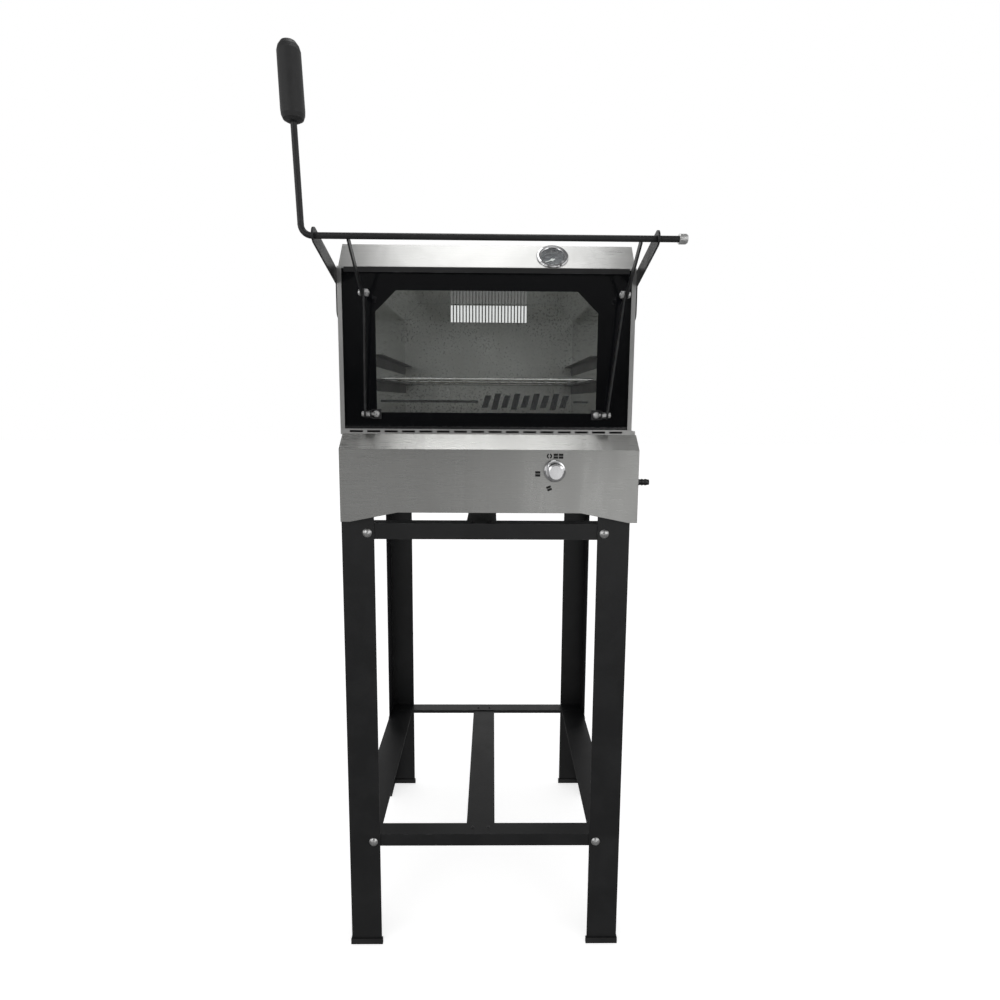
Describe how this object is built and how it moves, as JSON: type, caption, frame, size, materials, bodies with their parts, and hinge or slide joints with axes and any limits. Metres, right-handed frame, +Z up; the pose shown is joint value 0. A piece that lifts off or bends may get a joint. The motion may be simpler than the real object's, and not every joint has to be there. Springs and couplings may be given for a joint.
{
  "type": "gas oven on a stand",
  "caption": "Tall gas oven on a black open stand, with a front lever that lifts a framed glass door, a slotted chamber, a wire rack and a dial thermometer.",
  "frame": {"origin": "bottom of the foot caps, under the middle of the bounding box", "axes": "+X to the right seen from the front, +Y to the back, +Z up; the door and knob face -Y"},
  "size_m": [0.6392, 0.6496, 1.6387],
  "materials": {
    "painted_black": "satin powder coat",
    "foot": "moulded",
    "dark_screws": "blackened",
    "bright_screws": "zinc plated",
    "stainless": "brushed",
    "galvanised": "mill",
    "lining": "polished, mottled by heat",
    "brass": "machined",
    "pipe": "drawn",
    "burner": "as cast",
    "stone": "fired, opaque",
    "blanket": "felted",
    "dark_rail": "heat darkened",
    "chrome": "bright",
    "dial": "printed",
    "needle": "painted",
    "lens": "clear",
    "glass": "clear, toughened",
    "print": "fired-on print",
    "grip": "moulded"
  },
  "bodies": {
    "oven": {"leg_front_left": "painted_black", "leg_front_right": "painted_black", "leg_rear_left": "painted_black", "leg_rear_right": "painted_black", "foot_caps": "foot", "upper_front_rail": "painted_black", "upper_rear_rail": "painted_black", "upper_left_rail": "painted_black", "upper_right_rail": "painted_black", "lower_front_rail": "painted_black", "lower_rear_rail": "painted_black", "lower_left_rail": "painted_black", "lower_right_rail": "painted_black", "upper_strap": "painted_black", "lower_strap": "painted_black", "strap_screws": "dark_screws", "frame_bolts": "bright_screws", "frame_nuts": "bright_screws", "control_panel": "stainless", "vent_strip": "stainless", "base_shell": "galvanised", "base_floor": "galvanised", "base_deck": "galvanised", "gas_inlet": "brass", "supply_pipe": "pipe", "gas_valve": "brass", "injector": "brass", "burner": "burner", "burner_brackets": "galvanised", "left_side_panel": "stainless", "right_side_panel": "stainless", "hood": "stainless", "back_panel": "galvanised", "front_frame": "galvanised", "chamber_lining": "lining", "chamber_back": "lining", "flue_sleeve": "galvanised", "refractory_stone": "stone", "insulation": "blanket", "rack_rails": "dark_rail", "thermometer_case": "chrome", "thermometer_dial": "dial", "thermometer_lens": "lens", "side_arms": "painted_black", "arm_bolts": "dark_screws"},
    "door": {"door_glass": "glass", "door_print": "print", "door_top_channel": "painted_black", "corner_brackets": "painted_black", "clamp_screws": "bright_screws", "lower_pivots": "bright_screws"},
    "lever": {"lever_shaft": "painted_black", "lever_grip": "grip", "shaft_cap": "chrome"},
    "rod_left": {"connecting_rod_left": "painted_black"},
    "rod_right": {"connecting_rod_right": "painted_black"},
    "knob": {"control_knob": "chrome", "valve_stem": "brass"},
    "needle": {"thermometer_needle": "needle"},
    "rack": {"wire_rack": "chrome"}
  },
  "joints": [
    {"name": "lever_turn", "type": "hinge", "parent": "oven", "child": "lever", "pos_m": [0, -0.30635, 1.3534], "axis": [1, 0, 0], "range_deg": [0, 100]},
    {"name": "door_slide", "type": "slide", "parent": "oven", "child": "door", "axis": [0, 0, 1], "range_m": [0, 0.1879]},
    {"name": "rod_left_swing", "type": "hinge", "parent": "door", "child": "rod_left", "pos_m": [-0.2215, -0.18635, 1.071], "axis": [1, 0, 0], "range_deg": [0, 12.31]},
    {"name": "rod_right_swing", "type": "hinge", "parent": "door", "child": "rod_right", "pos_m": [0.2215, -0.18635, 1.071], "axis": [1, 0, 0], "range_deg": [0, 12.31]},
    {"name": "knob_turn", "type": "hinge", "parent": "oven", "child": "knob", "pos_m": [0.1243, -0.21335, 0.9707], "axis": [0, -1, 0], "range_deg": [0, 165]},
    {"name": "needle_turn", "type": "hinge", "parent": "oven", "child": "needle", "pos_m": [0.12, -0.14835, 1.3605], "axis": [0, 0.7939, -0.6081], "range_deg": [0, 230]},
    {"name": "rack_slide", "type": "slide", "parent": "oven", "child": "rack", "axis": [0, -1, 0], "range_m": [0, 0.018]}
  ],
  "couplings": [
    {"joint": "door_slide", "follows": "lever_turn", "m_per_rad": 0.1076},
    {"joint": "rod_left_swing", "follows": "lever_turn", "ratio": 0.1229},
    {"joint": "rod_right_swing", "follows": "lever_turn", "ratio": 0.1229}
  ]
}
